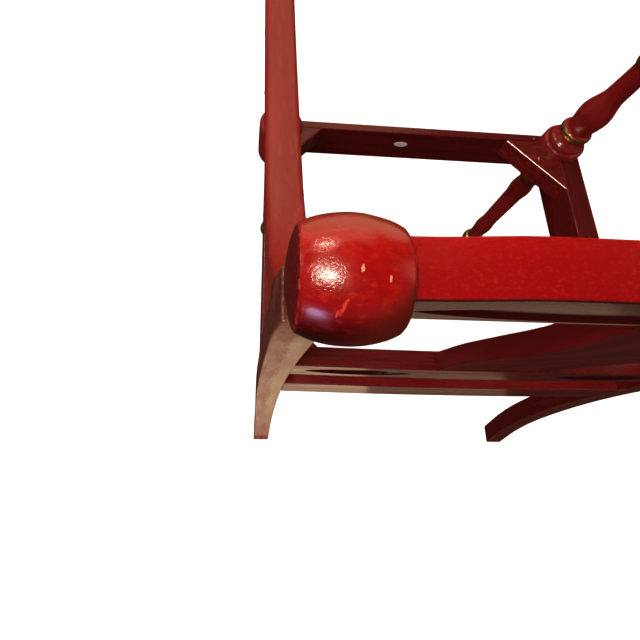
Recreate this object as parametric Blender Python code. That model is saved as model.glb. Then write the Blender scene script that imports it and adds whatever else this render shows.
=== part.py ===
"""Open armchair frame in red lacquer: barrel-ended crest, sabre back posts, swept arms,
turned front legs.  Metres, +Z up, front of the chair towards -Y, sitter's left at +X.

Depths are given as distances forward of the heel line of the back feet; yy() turns them
into y.  The two sides are built by one loop, side = +1 for "left" and -1 for "right"."""

import math

import bmesh
import bpy
from mathutils import Matrix, Vector

# ---------------------------------------------------------------- driving dimensions
GAP = 0.0003            # clearance between neighbouring pieces
DEPTH_REAR = 0.248      # y of the heel line of the back feet
SEAT_Z = 0.4097         # top of the seat rails
RAIL_H = 0.067          # front and side seat rail height

POST_IN = 0.2347        # inner face of the back posts
POST_OUT_FOOT = 0.2641  # outer face at the foot
POST_OUT_TOP = 0.2697   # outer face from seat level up
POST_TOP = 0.8160
POST_RINGS = 26
FOOT_EASE = 0.0030      # rounding around the foot of a post
# stations of the sabre curve: height, rear face, front face
POST_CURVE = (
    (0.000, 0.0000, 0.0325),
    (0.080, 0.0195, 0.0530),
    (0.240, 0.0390, 0.0722),
    (0.410, 0.0440, 0.0775),
    (0.530, 0.0395, 0.0738),
    (0.650, 0.0302, 0.0650),
    (0.700, 0.0252, 0.0605),
    (0.750, 0.0172, 0.0535),
    (POST_TOP, 0.0030, 0.0345),
)

BARREL_X = 0.2661       # outer end
BARREL_L = 0.0503
BARREL_R = 0.0313
BARREL_R_END = 0.0257
BARREL_DOME = 0.0045    # how far the outer end bulges
BARREL_Y = 0.0171       # axis, forward of the heel line
BARREL_Z = 0.8418

CREST_REAR = 0.0028
CREST_D = 0.0318
CREST_LOW = 0.8279
CREST_END_TOP = 0.8558
CREST_MID_TOP = 0.8620
CREST_EASE = 0.071      # length over which the crest top rises

MID_REAR = 0.0462       # mid back rail
MID_D = 0.0226
MID_TOP = 0.5141
MID_H = 0.0497

BACK_REAR = 0.0446      # rear seat rail
BACK_D = 0.0220
BACK_H = 0.0625
RAIL_BOW = 0.0022       # both back rails bow rearwards at the middle

SPLAT_W = 0.1344
SPLAT_T = 0.0200
# stations of the splat's lean: height, rear face
SPLAT_CURVE = (
    (MID_TOP, 0.0452),
    (0.580, 0.0378),
    (0.653, 0.0263),
    (0.735, 0.0135),
    (0.780, 0.0102),
    (CREST_LOW, 0.0098),
)

FRONT_OUT = 0.4797      # front face of the front seat rail
FRONT_T = 0.0139
SIDE_IN = 0.2320
SIDE_OUT = 0.2665
SIDE_REAR = 0.0782
SCREW_LOW = 0.0240      # how far the screws reach down
BLOCK_H = 0.0345        # height of the corner blocks
BLOCK_ROUND = 0.0022    # rounding of a block's long top edge
REAR_BLOCK = 0.0700     # reach of the rear blocks both ways

LEG_X = 0.2430
LEG_Y = 0.4635
DRUM_R = 0.0350
DRUM_TOP = 0.4205

# hand-cut front blocks: reach along the front rail, along the side rail, screw x, screw y
FRONT_BLOCKS = {
    "left": (0.0560, 0.0590, 0.2200, 0.4270),
    "right": (0.0872, 0.0915, 0.1970, 0.4300),
}

ARM_W = 0.0340
ARM_RINGS = 24
# stations of an arm: distance forward, top, underside, centre line x
ARM_CURVE = (
    (0.0480, 0.7680, 0.6900, 0.2526),
    (0.0660, 0.7385, 0.6850, 0.2536),
    (0.0920, 0.7125, 0.6745, 0.2551),
    (0.1100, 0.7035, 0.6690, 0.2560),
    (0.1700, 0.6865, 0.6560, 0.2580),
    (0.2110, 0.6795, 0.6500, 0.2585),
    (0.3300, 0.6615, 0.6335, 0.2600),
    (0.4400, 0.6510, 0.6230, 0.2616),
    (0.4900, 0.6485, 0.6205, 0.2623),
)
ARM_NOSE = 0.0200       # length of the rounded front end
SUPPORT_TOP_X = 0.2612
SUPPORT_TOP_Z = 0.6205

TENON_T = 0.0100        # thickness of the back tenons
TENON_H = 0.0400        # height of the seat rail tenons
DOWEL_R = 0.0050
DOWEL_REACH = 0.0190    # of a crest dowel into each neighbour
PIN_R = 0.0062          # turned pins at both ends of an arm support

RED = (0.36, 0.016, 0.010, 1.0)
MAROON = (0.16, 0.012, 0.010, 1.0)
BRICK = (0.30, 0.030, 0.018, 1.0)
BEECH = (0.55, 0.36, 0.20, 1.0)
STEEL = (0.55, 0.54, 0.52, 1.0)
IVORY = (0.80, 0.72, 0.58, 1.0)


# ---------------------------------------------------------------- helpers
def clear_scene():
    for ob in list(bpy.data.objects):
        bpy.data.objects.remove(ob, do_unlink=True)


def material(name, colour, rough, metal=0.0):
    mat = bpy.data.materials.new(name)
    mat.use_nodes = True
    shader = mat.node_tree.nodes["Principled BSDF"]
    shader.inputs["Base Color"].default_value = colour
    shader.inputs["Roughness"].default_value = rough
    shader.inputs["Metallic"].default_value = metal
    mat.diffuse_color = colour
    return mat


def yy(forward):
    """y of a point given as its distance forward of the heel line."""
    return DEPTH_REAR - forward


def add_mesh(name, verts, faces):
    mesh = bpy.data.meshes.new(name)
    mesh.from_pydata([tuple(v) for v in verts], [], faces)
    bm = bmesh.new()
    bm.from_mesh(mesh)
    bmesh.ops.recalc_face_normals(bm, faces=bm.faces)
    bm.to_mesh(mesh)
    bm.free()
    ob = bpy.data.objects.new(name, mesh)
    bpy.context.scene.collection.objects.link(ob)
    return ob


def node(ob, colour, rough=0.35, metal=0.0):
    ob.data.materials.append(material(ob.name, colour, rough, metal))
    return ob


def loft(name, rings):
    """Skin of equal-length point rings, closed with a flat cap at each end."""
    n = len(rings[0])
    verts = [v for ring in rings for v in ring]
    faces = []
    for k in range(len(rings) - 1):
        a = k * n
        b = a + n
        for i in range(n):
            j = (i + 1) % n
            faces.append((a + i, a + j, b + j, b + i))
    faces.append(tuple(range(n)))
    faces.append(tuple(range(len(verts) - n, len(verts))))
    return add_mesh(name, verts, faces)


def box(name, lo, hi):
    x0, y0, z0 = (min(a, b) for a, b in zip(lo, hi))
    x1, y1, z1 = (max(a, b) for a, b in zip(lo, hi))
    low = [(x0, y0, z0), (x1, y0, z0), (x1, y1, z0), (x0, y1, z0)]
    top = [(x, y, z1) for x, y, _ in low]
    return loft(name, [low, top])


def revolve(name, profile, place, seg=40):
    """Solid of revolution of (radius, height) pairs about local Z, moved by the matrix place."""
    rings = []
    for r, h in profile:
        ring = []
        for k in range(seg):
            a = 2 * math.pi * k / seg
            ring.append(place @ Vector((r * math.cos(a), r * math.sin(a), h)))
        rings.append(ring)
    return loft(name, rings)


def cylinder(name, start, end, radius, seg=32):
    start = Vector(start)
    along = Vector(end) - start
    turn = along.to_track_quat("Z", "Y").to_matrix().to_4x4()
    place = Matrix.Translation(start) @ turn
    return revolve(name, [(radius, 0.0), (radius, along.length)], place, seg)


def bevel(ob, width, segments=2, angle=40):
    mod = ob.modifiers.new("edge", "BEVEL")
    mod.width = width
    mod.segments = segments
    mod.limit_method = "ANGLE"
    mod.angle_limit = math.radians(angle)


def boolean(ob, tool, operation):
    tool.hide_render = True
    tool.display_type = "WIRE"
    mod = ob.modifiers.new(operation.lower(), "BOOLEAN")
    mod.operation = operation
    mod.solver = "EXACT"
    mod.object = tool


def cut(ob, tool):
    boolean(ob, tool, "DIFFERENCE")


def join(ob, tool):
    boolean(ob, tool, "UNION")


def tenon(owner, holder, centre, size):
    """Block joined to owner, with a pocket GAP larger cut in holder."""
    for target, name, grow, act in ((owner, "tenon_", 0.0, join), (holder, "pocket_", GAP, cut)):
        lo = [c - s / 2 - grow for c, s in zip(centre, size)]
        hi = [c + s / 2 + grow for c, s in zip(centre, size)]
        act(target, box(name + target.name, lo, hi))


def smooth(t):
    t = max(0.0, min(1.0, t))
    return t * t * (3 - 2 * t)


def round_shading(ob):
    """Smooth shading, with the edges of the form kept sharp."""
    ob.data.shade_smooth()
    ob.data.set_sharp_from_angle(angle=math.radians(38))
    return ob


def slope(stations, k, j):
    """Slope of column j at station k, weighted between its two neighbouring spans."""
    spans = []
    for a, b in ((k - 1, k), (k, k + 1)):
        if a >= 0 and b < len(stations):
            width = stations[b][0] - stations[a][0]
            spans.append((width, (stations[b][j] - stations[a][j]) / width))
    if len(spans) == 1:
        return spans[0][1]
    (w0, s0), (w1, s1) = spans
    return (s0 * w1 + s1 * w0) / (w0 + w1)


def curve_at(stations, x):
    """Columns of a smooth curve through the stations, at position x of their first column."""
    k = sum(1 for s in stations[1:-1] if x >= s[0])
    a = stations[k]
    b = stations[k + 1]
    width = b[0] - a[0]
    t = (x - a[0]) / width
    values = []
    for j in range(1, len(a)):
        lean_a = slope(stations, k, j) * width
        lean_b = slope(stations, k + 1, j) * width
        start = (2 * t**3 - 3 * t**2 + 1) * a[j] + (t**3 - 2 * t**2 + t) * lean_a
        end = (3 * t**2 - 2 * t**3) * b[j] + (t**3 - t**2) * lean_b
        values.append(start + end)
    return values


# ---------------------------------------------------------------- back posts
def post_outer(z):
    return POST_OUT_FOOT + (POST_OUT_TOP - POST_OUT_FOOT) * smooth(z / 0.36)


def post_section(side, z, grow, height):
    """Four corners of the post's section at z, drawn at a height."""
    rear, front = curve_at(POST_CURVE, z)
    xi = side * (POST_IN - grow)
    xo = side * (post_outer(z) + grow)
    r = yy(rear - grow)
    f = yy(front + grow)
    return [(xi, r, height), (xo, r, height), (xo, f, height), (xi, f, height)]


def post_rings(side, grow, top):
    rings = []
    for k in range(POST_RINGS):
        z = POST_TOP * k / (POST_RINGS - 1)
        rings.append(post_section(side, z, grow, top if k == POST_RINGS - 1 else z))
    return rings


def foot_rings(side):
    """Sections that round the foot's edges, from the floor up."""
    rings = []
    steps = 4
    for k in range(steps + 1):
        a = math.pi / 2 * k / steps
        z = FOOT_EASE * (1 - math.cos(a))
        rings.append(post_section(side, z, FOOT_EASE * (math.sin(a) - 1), z))
    return rings


def barrel_profile(grow):
    """(radius, distance from the inner end) of a barrel, with a domed outer end."""
    points = [(BARREL_R_END - 0.0012 + grow, -grow)]
    steps = 12
    for k in range(steps + 1):
        t = k / steps
        r = BARREL_R_END + (BARREL_R - BARREL_R_END) * (1 - (2 * t - 1) ** 2) ** 0.9
        points.append((r + grow, 0.0011 + t * (BARREL_L - 0.0022)))
    base = BARREL_R_END - 0.0010
    sphere = (base**2 + BARREL_DOME**2) / (2 * BARREL_DOME)
    for k in range(5):
        r = base * (1 - k / 5)
        rise = math.sqrt(sphere**2 - r**2) - (sphere - BARREL_DOME)
        points.append((r + grow, BARREL_L - 0.0002 + rise + grow))
    return points


def barrel_place(side):
    at = Vector((side * (BARREL_X - BARREL_L), yy(BARREL_Y), BARREL_Z))
    return Matrix.Translation(at) @ Matrix.Rotation(side * math.pi / 2, 4, "Y")


def make_post(side, name):
    rings = foot_rings(side) + post_rings(side, 0.0, POST_TOP)[1:]
    ob = round_shading(loft("back_post_" + name, rings))
    bevel(ob, 0.0014, 2, 30)
    cut(ob, revolve("barrel_seat_" + name, barrel_profile(GAP), barrel_place(side), 48))
    return node(ob, MAROON, 0.3)


# ---------------------------------------------------------------- crest, barrels, back
def make_barrel(side, name):
    ob = revolve("crest_barrel_" + name, barrel_profile(0.0), barrel_place(side), 40)
    return node(round_shading(ob), RED, 0.2)


def crest_top(x):
    reach = BARREL_X - BARREL_L - abs(x)
    return CREST_END_TOP + (CREST_MID_TOP - CREST_END_TOP) * smooth(reach / CREST_EASE)


def lens(name, centre, half, tall, face, depth, z):
    """Lens-shaped cutter standing in a rear face; a small depth gives a sunk panel."""
    outline = []
    steps = 20
    for k in range(steps + 1):
        t = -1 + 2 * k / steps
        outline.append((centre + half * t, tall / 2 * (1 - t * t) ** 0.8))
    back = [(x, -h) for x, h in reversed(outline[1:-1])]
    ring = [(x, h) for x, h in outline] + back
    inner = [(x, yy(face + depth), z + h) for x, h in ring]
    outer = [(x, yy(face - 0.01), z + h) for x, h in ring]
    return loft(name, [inner, outer])


def make_crest():
    end = BARREL_X - BARREL_L - GAP
    xs = [-end + 2 * end * k / 24 for k in range(25)]
    rings = []
    for x in xs:
        r = yy(CREST_REAR)
        f = yy(CREST_REAR + CREST_D)
        t = crest_top(x)
        rings.append([(x, r, CREST_LOW), (x, f, CREST_LOW), (x, f, t), (x, r, t)])
    ob = round_shading(loft("crest_rail", rings))
    bevel(ob, 0.0016, 2)
    return node(ob, RED, 0.2)


def sink_crest_panels(ob):
    mid = (CREST_LOW + CREST_END_TOP) / 2 - 0.0015
    for side, name in ((1, "left"), (-1, "right")):
        cut(ob, lens("crest_panel_" + name, side * 0.1195, 0.0915, 0.0180, CREST_REAR, 0.0022, mid))


def bowed_bar(name, end, rear, depth, top, height):
    rings = []
    for k in range(13):
        x = -end + 2 * end * k / 12
        bow = RAIL_BOW * (1 - (x / end) ** 2)
        r = yy(rear - bow)
        f = yy(rear - bow + depth)
        rings.append([(x, r, top - height), (x, f, top - height), (x, f, top), (x, r, top)])
    return round_shading(loft(name, rings))


def make_mid_rail():
    ob = bowed_bar("back_rail", POST_IN - GAP, MID_REAR, MID_D, MID_TOP, MID_H)
    bevel(ob, 0.0012, 2)
    mid = MID_TOP - MID_H / 2
    for side, name in ((1, "left"), (-1, "right")):
        cut(ob, lens("rail_panel_" + name, side * 0.154, 0.065, 0.028, MID_REAR - 0.0013, 0.0030, mid))
    return node(ob, MAROON, 0.3)


def make_rear_seat_rail():
    ob = bowed_bar("rear_seat_rail", POST_IN - GAP, BACK_REAR, BACK_D, SEAT_Z, BACK_H)
    bevel(ob, 0.0012, 2)
    return node(ob, MAROON, 0.3)


def make_splat(mid_rail, crest):
    z0 = MID_TOP + GAP
    z1 = CREST_LOW - GAP
    h = SPLAT_W / 2
    rings = []
    for k in range(13):
        z = z0 + (z1 - z0) * k / 12
        rear = curve_at(SPLAT_CURVE, z)[0]
        r = yy(rear)
        f = yy(rear + SPLAT_T)
        rings.append([(-h, r, z), (h, r, z), (h, f, z), (-h, f, z)])
    ob = round_shading(loft("back_splat", rings))
    bevel(ob, 0.0010, 1)
    size = (SPLAT_W - 0.030, TENON_T, 0.020)
    low_y = yy(SPLAT_CURVE[0][1] + SPLAT_T / 2)
    top_y = yy(SPLAT_CURVE[-1][1] + SPLAT_T / 2)
    tenon(ob, mid_rail, (0.0, low_y, z0 - 0.004), size)
    tenon(ob, crest, (0.0, top_y, z1 + 0.004), size)
    return node(ob, MAROON, 0.3)


# ---------------------------------------------------------------- seat frame
def drum_cutter(side, name):
    x = side * LEG_X
    return cylinder("drum_space_" + name, (x, yy(LEG_Y), 0.30), (x, yy(LEG_Y), 0.46), DRUM_R + GAP, 64)


def make_side_rail(side, name):
    lo = (side * SIDE_IN, yy(SIDE_REAR), SEAT_Z - RAIL_H)
    hi = (side * SIDE_OUT, yy(LEG_Y), SEAT_Z)
    ob = box("side_seat_rail_" + name, lo, hi)
    bevel(ob, 0.0015, 2)
    cut(ob, drum_cutter(side, "side_" + name))
    return node(ob, MAROON, 0.3)


def make_front_rail():
    lo = (-LEG_X, yy(FRONT_OUT - FRONT_T), SEAT_Z - RAIL_H)
    hi = (LEG_X, yy(FRONT_OUT), SEAT_Z)
    ob = box("front_seat_rail", lo, hi)
    bevel(ob, 0.0013, 2)
    for side, name in ((1, "left"), (-1, "right")):
        cut(ob, drum_cutter(side, "front_" + name))
    return node(ob, MAROON, 0.3)


def make_block(side, name, corner, reach_x, reach_y, end):
    """Diagonal glue block in a seat corner, flush with the rail tops, its long edge rounded."""
    x, y = corner
    tip = 0.0012

    def ring(back, z):
        wide = reach_x - back
        long = reach_y - back
        return [
            (side * (x - wide), yy(y), z),
            (side * x, yy(y), z),
            (side * x, yy(y + end * long), z),
            (side * (x - tip), yy(y + end * long), z),
            (side * (x - wide), yy(y + end * tip), z),
        ]

    top = SEAT_Z - 0.0002
    rings = [ring(0.0, SEAT_Z - BLOCK_H)]
    steps = 4
    for k in range(steps + 1):
        a = math.pi / 2 * k / steps
        back = BLOCK_ROUND * (1 - math.cos(a)) * math.sqrt(2)
        rings.append(ring(back, top - BLOCK_ROUND * (1 - math.sin(a))))
    return node(round_shading(loft("corner_block_" + name, rings)), MAROON, 0.35)


def button_head(radius, z, height):
    """Domed head of a screw or pin, from its flat underside at z."""
    rim = height * 0.2
    points = [(radius, z)]
    for k in range(4):
        a = math.pi / 2 * k / 3.4
        points.append((radius * math.cos(a), z + rim + (height - rim) * math.sin(a)))
    return points


def make_screw(name, x, y):
    """Round-head screw standing in a corner block."""
    z = SEAT_Z
    shank = [(0.0019, z - SCREW_LOW), (0.0019, z + 0.0002)]
    profile = shank + button_head(0.0046, z + 0.0002, 0.0026)
    place = Matrix.Translation(Vector((x, y, 0.0)))
    ob = revolve("corner_screw_" + name, profile, place, 20)
    return node(round_shading(ob), STEEL, 0.35, 1.0)


# ---------------------------------------------------------------- turned front
def bead(z, base, crest, half, steps=6):
    """Half-round ring about height z; base is the radius where it meets the shaft."""
    points = []
    for k in range(steps + 1):
        a = math.pi * k / steps
        points.append((base + (crest - base) * math.sin(a), z - half * math.cos(a)))
    return points


def swell(z, low, crest, high, half, steps=8):
    """Soft bamboo-like node about height z, easing from radius low below to high above."""
    points = []
    for k in range(steps + 1):
        t = -1 + 2 * k / steps
        base = low if t < 0 else high
        points.append((base + (crest - base) * smooth(1 - abs(t)), z + half * t))
    return points


def leg_profile():
    """(radius, height) outline of a front leg with its drum, from the floor up."""
    points = [(0.0125, 0.0), (0.0138, 0.0015)]
    points += bead(0.0575, 0.0152, 0.0209, 0.0125)
    points += swell(0.1200, 0.0150, 0.0175, 0.0152, 0.0300)
    points.append((0.0160, 0.2000))
    points += swell(0.2760, 0.0168, 0.0196, 0.0170, 0.0280)
    points += bead(0.3215, 0.0184, 0.0224, 0.0095)
    points += [(0.0220, 0.3370), (0.0290, 0.3405), (0.0328, 0.3427)]
    points += [(DRUM_R, 0.3460), (DRUM_R, DRUM_TOP - 0.0040)]
    points += [(DRUM_R - 0.0012, DRUM_TOP - 0.0013), (DRUM_R - 0.0040, DRUM_TOP)]
    return points


def support_profile():
    """(radius, height) outline of an arm support above its seat on the drum."""
    points = [(0.0290, -0.0060), (0.0290, 0.0005), (0.0298, 0.0020), (0.0292, 0.0048)]
    points += [(0.0250, 0.0090), (0.0218, 0.0150)]
    points += bead(0.0245, 0.0208, 0.0262, 0.0072)
    points += swell(0.0670, 0.0200, 0.0246, 0.0166, 0.0330)
    points += [(0.0156, 0.1180), (0.0150, 0.1420)]
    points += bead(0.1705, 0.0153, 0.0194, 0.0105)
    points += [(0.0158, 0.1920)]
    return points


def make_leg(side, name):
    place = Matrix.Translation(Vector((side * LEG_X, yy(LEG_Y), 0.0)))
    ob = revolve("front_leg_" + name, leg_profile(), place, 32)
    return node(round_shading(ob), MAROON, 0.3)


def support_frame(side):
    """Placement of an arm support: its axis leans outward from drum to arm."""
    low = Vector((side * LEG_X, yy(LEG_Y), DRUM_TOP + GAP))
    top = Vector((side * SUPPORT_TOP_X, yy(LEG_Y), SUPPORT_TOP_Z))
    turn = (top - low).to_track_quat("Z", "Y").to_matrix().to_4x4()
    return Matrix.Translation(low) @ turn, low, top


def make_support(side, name, leg, arm):
    place, low, top = support_frame(side)
    along = (top - low).normalized()
    reach = (top - low).length
    points = support_profile()
    points.append((points[-1][0], reach + 0.02))
    ob = round_shading(revolve("arm_support_" + name, points, place, 28))
    x = side * LEG_X
    y = yy(LEG_Y)
    floor = DRUM_TOP + GAP
    cut(ob, box("trim_low_" + name, (x - 0.06, y - 0.06, floor - 0.03), (x + 0.06, y + 0.06, floor)))
    cut(ob, arm_solid("arm_space_" + name, side, GAP))
    ends = (("low_", leg, low, -along, 0.026), ("top_", arm, top, along, 0.014))
    for end, holder, at, away, depth in ends:
        root = at - away * 0.02
        tip = at + away * depth
        join(ob, cylinder("pin_" + end + name, root, tip, PIN_R, 24))
        cut(holder, cylinder("bore_" + end + name, root, tip + away * GAP * 2, PIN_R + GAP, 24))
    return node(ob, MAROON, 0.3)


# ---------------------------------------------------------------- arms
def arm_ring(side, y, top, low, x, scale, grow):
    """Rounded-rectangle section of an arm, a little crowned on top."""
    w = ARM_W / 2 * scale + grow
    h = (top - low) / 2 * scale + grow
    z = (top + low) / 2
    r = min(0.005, h * 0.45)
    corners = ((-1, -1, 180), (1, -1, 270), (1, 1, 0), (-1, 1, 90))
    points = []
    for u, v, start in corners:
        for k in range(4):
            a = math.radians(start + 30 * k)
            points.append((u * (w - r) + r * math.cos(a), v * (h - r) + r * math.sin(a)))
        if (u, v) == (1, 1):
            points.append((0.0, h + 0.0010))
    return [(side * (x + u), yy(y), z + v) for u, v in points]


def arm_solid(name, side, grow):
    rings = []
    start = ARM_CURVE[0][0]
    end = ARM_CURVE[-1][0]
    for k in range(ARM_RINGS):
        y = start + (end - start) * (k / (ARM_RINGS - 1)) ** 1.5
        rings.append(arm_ring(side, y, *curve_at(ARM_CURVE, y), 1.0, grow))
    _, top, low, x = ARM_CURVE[-1]
    for k in range(1, 6):
        t = k / 5.5
        scale = math.sqrt(1 - t * t)
        rings.append(arm_ring(side, end + ARM_NOSE * math.sin(math.pi / 2 * t), top, low, x, scale, grow))
    return loft(name, rings)


def make_arm(side, name):
    ob = round_shading(arm_solid("arm_" + name, side, 0.0))
    cut(ob, loft("post_space_" + name, post_rings(side, GAP, 0.83)))
    return node(ob, BRICK, 0.4)


def make_pin(front_rail):
    """Small round-head pin in the top of the front rail."""
    place = Matrix.Translation(Vector((-0.1949, yy(0.4715), SEAT_Z)))
    radius = 0.0010
    shank = [(0.0008, -0.0160), (radius, -0.0120), (radius, GAP)]
    hole = [(radius + GAP, -0.0165), (radius + GAP, 0.0100)]
    cut(front_rail, revolve("pin_hole", hole, place, 16))
    ob = revolve("rail_pin", shank + button_head(0.0026, GAP, 0.0017), place, 16)
    return node(round_shading(ob), STEEL, 0.35, 1.0)


def make_tag():
    """Blank oval tag on the inside of the front rail."""
    x = 0.0325
    y = yy(FRONT_OUT - FRONT_T - GAP)
    z = 0.3820
    steps = 28
    rings = []
    for rise, half_w, half_h in ((0.0, 0.0117, 0.0057), (0.0006, 0.0117, 0.0057), (0.0009, 0.0113, 0.0053)):
        ring = []
        for k in range(steps):
            a = 2 * math.pi * k / steps
            ring.append((x + half_w * math.cos(a), y + rise, z + half_h * math.sin(a)))
        rings.append(ring)
    return node(loft("rail_tag", rings), IVORY, 0.5)


# ---------------------------------------------------------------- assembly
def join_side(side, name, post, side_rail, leg, front_rail, mid_rail, rear_rail, arm):
    """Mortise-and-tenon joints of one side of the chair."""
    mid = (side * (POST_IN + 0.005), yy(MID_REAR + MID_D / 2), MID_TOP - MID_H / 2)
    tenon(mid_rail, post, mid, (0.030, TENON_T, 0.028))
    rear = (side * (POST_IN + 0.004), yy(BACK_REAR + BACK_D / 2), SEAT_Z - BACK_H / 2)
    tenon(rear_rail, post, rear, (0.028, TENON_T, TENON_H))

    side_x = side * (SIDE_IN + SIDE_OUT) / 2
    z = SEAT_Z - RAIL_H / 2
    tenon(side_rail, post, (side_x, yy(SIDE_REAR - 0.001), z), (0.012, 0.026, TENON_H))
    tenon(side_rail, leg, (side_x, yy(LEG_Y - DRUM_R + 0.004), z), (0.012, 0.030, TENON_H))
    front = (side * (LEG_X - DRUM_R + 0.004), yy(FRONT_OUT - FRONT_T / 2), z)
    tenon(front_rail, leg, front, (0.029, 0.0075, TENON_H))
    tenon(arm, post, (side * 0.2520, yy(0.0570), 0.7140), (0.016, 0.030, 0.028))


def dowel(name, start, end, low, high):
    """Loose beech dowel, with its bores in the two pieces that it joins."""
    start = Vector(start)
    end = Vector(end)
    more = (end - start).normalized() * GAP * 2
    rod = cylinder(name, start, end, DOWEL_R, 24)
    for holder in (low, high):
        bore = cylinder("bore_" + name + holder.name, start - more, end + more, DOWEL_R + GAP, 24)
        cut(holder, bore)
    return node(round_shading(rod), BEECH, 0.6)


def join_crest(side, name, barrel, crest, post):
    """Dowels from the crest end and from the post top into the barrel."""
    x = BARREL_X - BARREL_L
    y = yy((BARREL_Y + CREST_REAR + CREST_D / 2) / 2)
    inner = (side * (x - DOWEL_REACH), y, BARREL_Z)
    outer = (side * (x + DOWEL_REACH), y, BARREL_Z)
    dowel("crest_dowel_" + name, inner, outer, crest, barrel)
    x = side * (POST_IN + POST_OUT_TOP) / 2
    y = yy(BARREL_Y + 0.003)
    dowel("post_dowel_" + name, (x, y, 0.7860), (x, y, 0.8340), post, barrel)


def fill_corner(side, name, end, block, spot):
    """Screw through a corner block, standing in its own clearance hole."""
    x, y = spot
    low = (side * x, yy(y), SEAT_Z - SCREW_LOW - 0.0005)
    high = (side * x, yy(y), SEAT_Z + 0.01)
    cut(block, cylinder("screw_hole_" + end + name, low, high, 0.0022, 20))
    make_screw(end + name, side * x, yy(y))


def main():
    clear_scene()
    crest = make_crest()
    mid_rail = make_mid_rail()
    rear_rail = make_rear_seat_rail()
    front_rail = make_front_rail()
    make_splat(mid_rail, crest)
    for side, name in ((1, "left"), (-1, "right")):
        post = make_post(side, name)
        barrel = make_barrel(side, name)
        side_rail = make_side_rail(side, name)
        leg = make_leg(side, name)
        arm = make_arm(side, name)
        join_side(side, name, post, side_rail, leg, front_rail, mid_rail, rear_rail, arm)
        join_crest(side, name, barrel, crest, post)
        make_support(side, name, leg, arm)

        inner = SIDE_IN - GAP
        front = FRONT_OUT - FRONT_T - GAP
        reach_x, reach_y, screw_x, screw_y = FRONT_BLOCKS[name]
        block = make_block(side, "front_" + name, (inner, front), reach_x, reach_y, -1)
        cut(block, drum_cutter(side, "block_" + name))
        fill_corner(side, name, "front_", block, (screw_x, screw_y))
        rear = BACK_REAR + BACK_D + GAP
        block = make_block(side, "rear_" + name, (inner, rear), REAR_BLOCK, REAR_BLOCK, 1)
        fill_corner(side, name, "rear_", block, (inner - 0.020, rear + 0.019))
    sink_crest_panels(crest)
    make_pin(front_rail)
    make_tag()


main()
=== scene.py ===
"""Looks of the open armchair frame: scarlet lacquer on the crest and its barrels, satin brick red
arms, dark maroon rails and turnings, rubbed brown posts and dull gilt rings.

Every shown piece is a finer copy of its CAD node with the thickness of the lacquer added, so that
the joints close as they do under real lacquer.  Metres, in the frame of the CAD: +Z is up, the
chair faces -Y and the sitter's left is +X."""

import math

import bmesh
import bpy
from mathutils import Matrix, Vector, noise


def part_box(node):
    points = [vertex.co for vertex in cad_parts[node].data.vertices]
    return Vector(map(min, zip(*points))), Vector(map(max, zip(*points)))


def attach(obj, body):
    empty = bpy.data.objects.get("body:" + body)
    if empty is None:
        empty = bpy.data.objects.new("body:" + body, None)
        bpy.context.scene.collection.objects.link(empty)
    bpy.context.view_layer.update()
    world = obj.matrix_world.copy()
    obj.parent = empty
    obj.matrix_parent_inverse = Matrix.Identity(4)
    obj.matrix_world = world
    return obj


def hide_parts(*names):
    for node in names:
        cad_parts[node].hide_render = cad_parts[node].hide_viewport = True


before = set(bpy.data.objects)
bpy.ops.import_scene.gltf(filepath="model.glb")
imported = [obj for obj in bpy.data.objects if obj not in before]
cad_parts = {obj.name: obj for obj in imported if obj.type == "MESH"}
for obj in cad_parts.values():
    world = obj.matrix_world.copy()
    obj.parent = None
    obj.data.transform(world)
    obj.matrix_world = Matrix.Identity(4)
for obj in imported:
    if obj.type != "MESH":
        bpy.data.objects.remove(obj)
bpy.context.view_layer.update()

SIDES = ("left", "right")
UP = Vector((0.0, 0.0, 1.0))

FILM = 0.00016          # lacquer thickness, which closes the CAD's 0.3 mm gaps
WELD = 0.000002         # merging distance for the CAD's split corners
EDGE_WIDTH = 0.0013     # faces narrower than this are eased edges, where lacquer wears
FLAT_ANGLE = 0.3        # degrees below which neighbouring faces become one flat face

# degrees from which an edge stays sharp
SAWN_SHARP = 62
TURNED_SHARP = 42

# the lens-shaped panels of a rail: plain rim around them, depths behind the rearmost point, and
# cosines that tell their floors and walls
PANEL_RIM = 0.0035
PANEL_FLOORS = {"crest_rail": 0.0012, "back_rail": 0.0030}
PANEL_DEEPEST = 0.0062
WALL_LEAST = 0.0006
FLOOR_FACES = 0.95
WALL_FACES = 0.2

# turned pieces: a ring of the CAD has at least this many points
RING_POINTS = 20
# (radius below which a point is inside the piece, parts of each span when faired, degrees from
# which a corner stays, segments, depth of the hand-finished unevenness)
BARREL_TURNING = (0.0020, 5, 20, 144, 0.00020)
SLIM_TURNING = (0.0100, 4, 38, 96, 0.00012)
UNEVEN_SCALE = 70.0     # noise scale of the unevenness

# a barrel's rims lie between these shares of its widest radius, with a worn band on each side
# that is also a painted highlight line
RIM_SHARE = (0.76, 0.83)
RIM_WIDTH = 0.0008

# an arm support: thickness of the tip that shows where its axis ends, and how far its skin runs
# into the drum and stops short of the tip
TIP_DEPTH = 0.0012
SUPPORT_SUNK = 0.0010
SUPPORT_SHORT = 0.0100

# screw and pin heads: shank's depth and share of the radius, and share of the height that is
# the straight rim below the dome
HEAD_SEGMENTS = 48
SHANK_DEPTH = 0.004
SHANK_SHARE = 0.4
HEAD_RIM = 0.2
DOME_RINGS = 8
SLOT_WIDTH = 0.22       # share of the head's radius
# turns of the driver slots, left and right, in radians
SLOT_TURNS = {"front_": (0.5, 1.9), "rear_": (1.2, 2.6)}

# heights of the gilt rings: (height above the piece's foot, half width)
LEG_GILT = ((0.3215, 0.0048), (0.0615, 0.0150))
SUPPORT_GILT = ((0.0248, 0.0048), (0.1708, 0.0060))

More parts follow.
